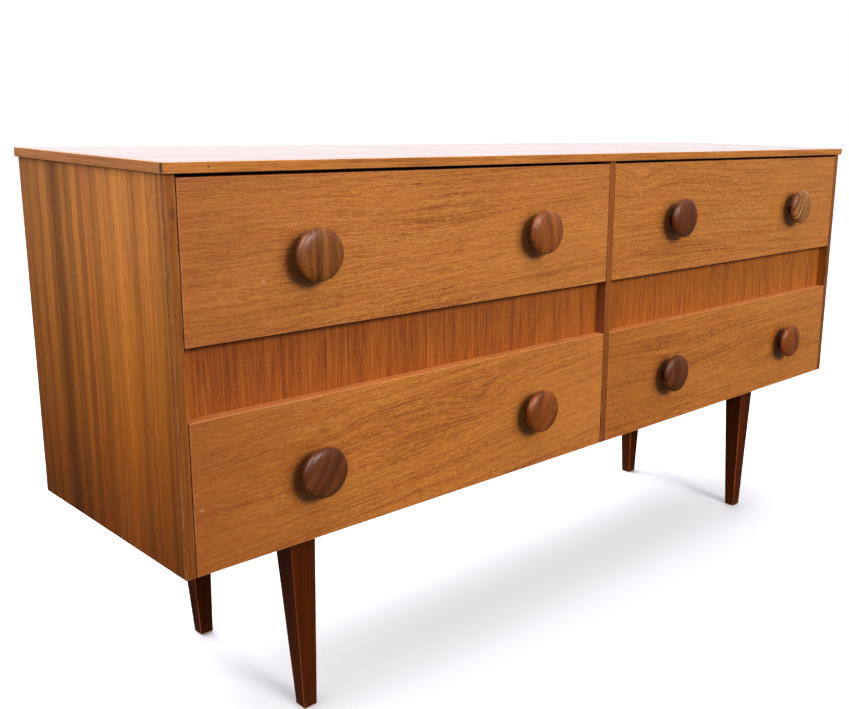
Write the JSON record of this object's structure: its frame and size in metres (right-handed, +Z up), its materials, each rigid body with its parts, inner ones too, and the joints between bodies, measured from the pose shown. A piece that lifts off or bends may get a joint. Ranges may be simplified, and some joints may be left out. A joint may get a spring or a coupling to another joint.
{
  "type": "dresser with drawers",
  "caption": "Long, low wooden dresser: drawers in two bays with turned knobs, recessed rails between them, on tapered square legs.",
  "frame": {"origin": "on the floor, in the middle of the overall plan", "axes": "+X to the right seen from the drawer side, +Y towards the back, +Z up; the drawers open along -Y"},
  "size_m": [1.457, 0.4158, 0.7335],
  "materials": {
    "teak_top": "satin lacquered teak veneer, straight grain along the length",
    "teak_front": "satin lacquered teak veneer, grain along the width",
    "teak_side": "satin lacquered ribbon-striped veneer, grain upright",
    "teak_rail": "satin lacquered veneer, redder and darker, grain upright",
    "teak_lipping": "satin lacquered solid edging",
    "knob_walnut": "turned and lacquered, semi-gloss",
    "leg_stained": "dark red-brown stain, satin",
    "beech": "bare, planed",
    "plywood": "bare plywood",
    "hardboard": "bare hardboard",
    "steel_fastener": "plain steel"
  },
  "bodies": {
    "carcass": {"top_panel": "teak_top", "top_lipping_front": "teak_lipping", "top_lipping_left": "teak_lipping", "top_lipping_right": "teak_lipping", "side_panel_left": "teak_side", "side_panel_right": "teak_side", "side_lipping_left": "teak_lipping", "side_lipping_right": "teak_lipping", "centre_divider": "teak_side", "divider_lipping": "teak_lipping", "bottom_panel": "plywood", "back_panel": "hardboard", "recessed_rail_left": "teak_rail", "recessed_rail_right": "teak_rail", "front_top_rail": "plywood", "runners_upper_left": "beech", "runners_upper_right": "beech", "runners_lower_left": "beech", "runners_lower_right": "beech", "leg_bearer_left": "leg_stained", "leg_bearer_right": "leg_stained", "leg_front_left": "leg_stained", "leg_front_right": "leg_stained", "leg_back_left": "leg_stained", "leg_back_right": "leg_stained", "bearer_screws": "steel_fastener", "leg_bolts": "steel_fastener", "back_pins": "steel_fastener"},
    "upper_left_drawer": {"upper_left_drawer_front": "teak_front", "upper_left_drawer_side_l": "beech", "upper_left_drawer_side_r": "beech", "upper_left_drawer_back": "beech", "upper_left_drawer_bottom": "plywood", "upper_left_knob_l": "knob_walnut", "upper_left_knob_r": "knob_walnut", "upper_left_knob_screws": "steel_fastener"},
    "upper_right_drawer": {"upper_right_drawer_front": "teak_front", "upper_right_drawer_side_l": "beech", "upper_right_drawer_side_r": "beech", "upper_right_drawer_back": "beech", "upper_right_drawer_bottom": "plywood", "upper_right_knob_l": "knob_walnut", "upper_right_knob_r": "knob_walnut", "upper_right_knob_screws": "steel_fastener"},
    "lower_left_drawer": {"lower_left_drawer_front": "teak_front", "lower_left_drawer_side_l": "beech", "lower_left_drawer_side_r": "beech", "lower_left_drawer_back": "beech", "lower_left_drawer_bottom": "plywood", "lower_left_knob_l": "knob_walnut", "lower_left_knob_r": "knob_walnut", "lower_left_knob_screws": "steel_fastener"},
    "lower_right_drawer": {"lower_right_drawer_front": "teak_front", "lower_right_drawer_side_l": "beech", "lower_right_drawer_side_r": "beech", "lower_right_drawer_back": "beech", "lower_right_drawer_bottom": "plywood", "lower_right_knob_l": "knob_walnut", "lower_right_knob_r": "knob_walnut", "lower_right_knob_screws": "steel_fastener"}
  },
  "joints": [
    {"name": "upper_left_slide", "type": "slide", "parent": "carcass", "child": "upper_left_drawer", "axis": [0, -1, 0], "range_m": [0, 0.26]},
    {"name": "upper_right_slide", "type": "slide", "parent": "carcass", "child": "upper_right_drawer", "axis": [0, -1, 0], "range_m": [0, 0.26]},
    {"name": "lower_left_slide", "type": "slide", "parent": "carcass", "child": "lower_left_drawer", "axis": [0, -1, 0], "range_m": [0, 0.26]},
    {"name": "lower_right_slide", "type": "slide", "parent": "carcass", "child": "lower_right_drawer", "axis": [0, -1, 0], "range_m": [0, 0.26]}
  ]
}
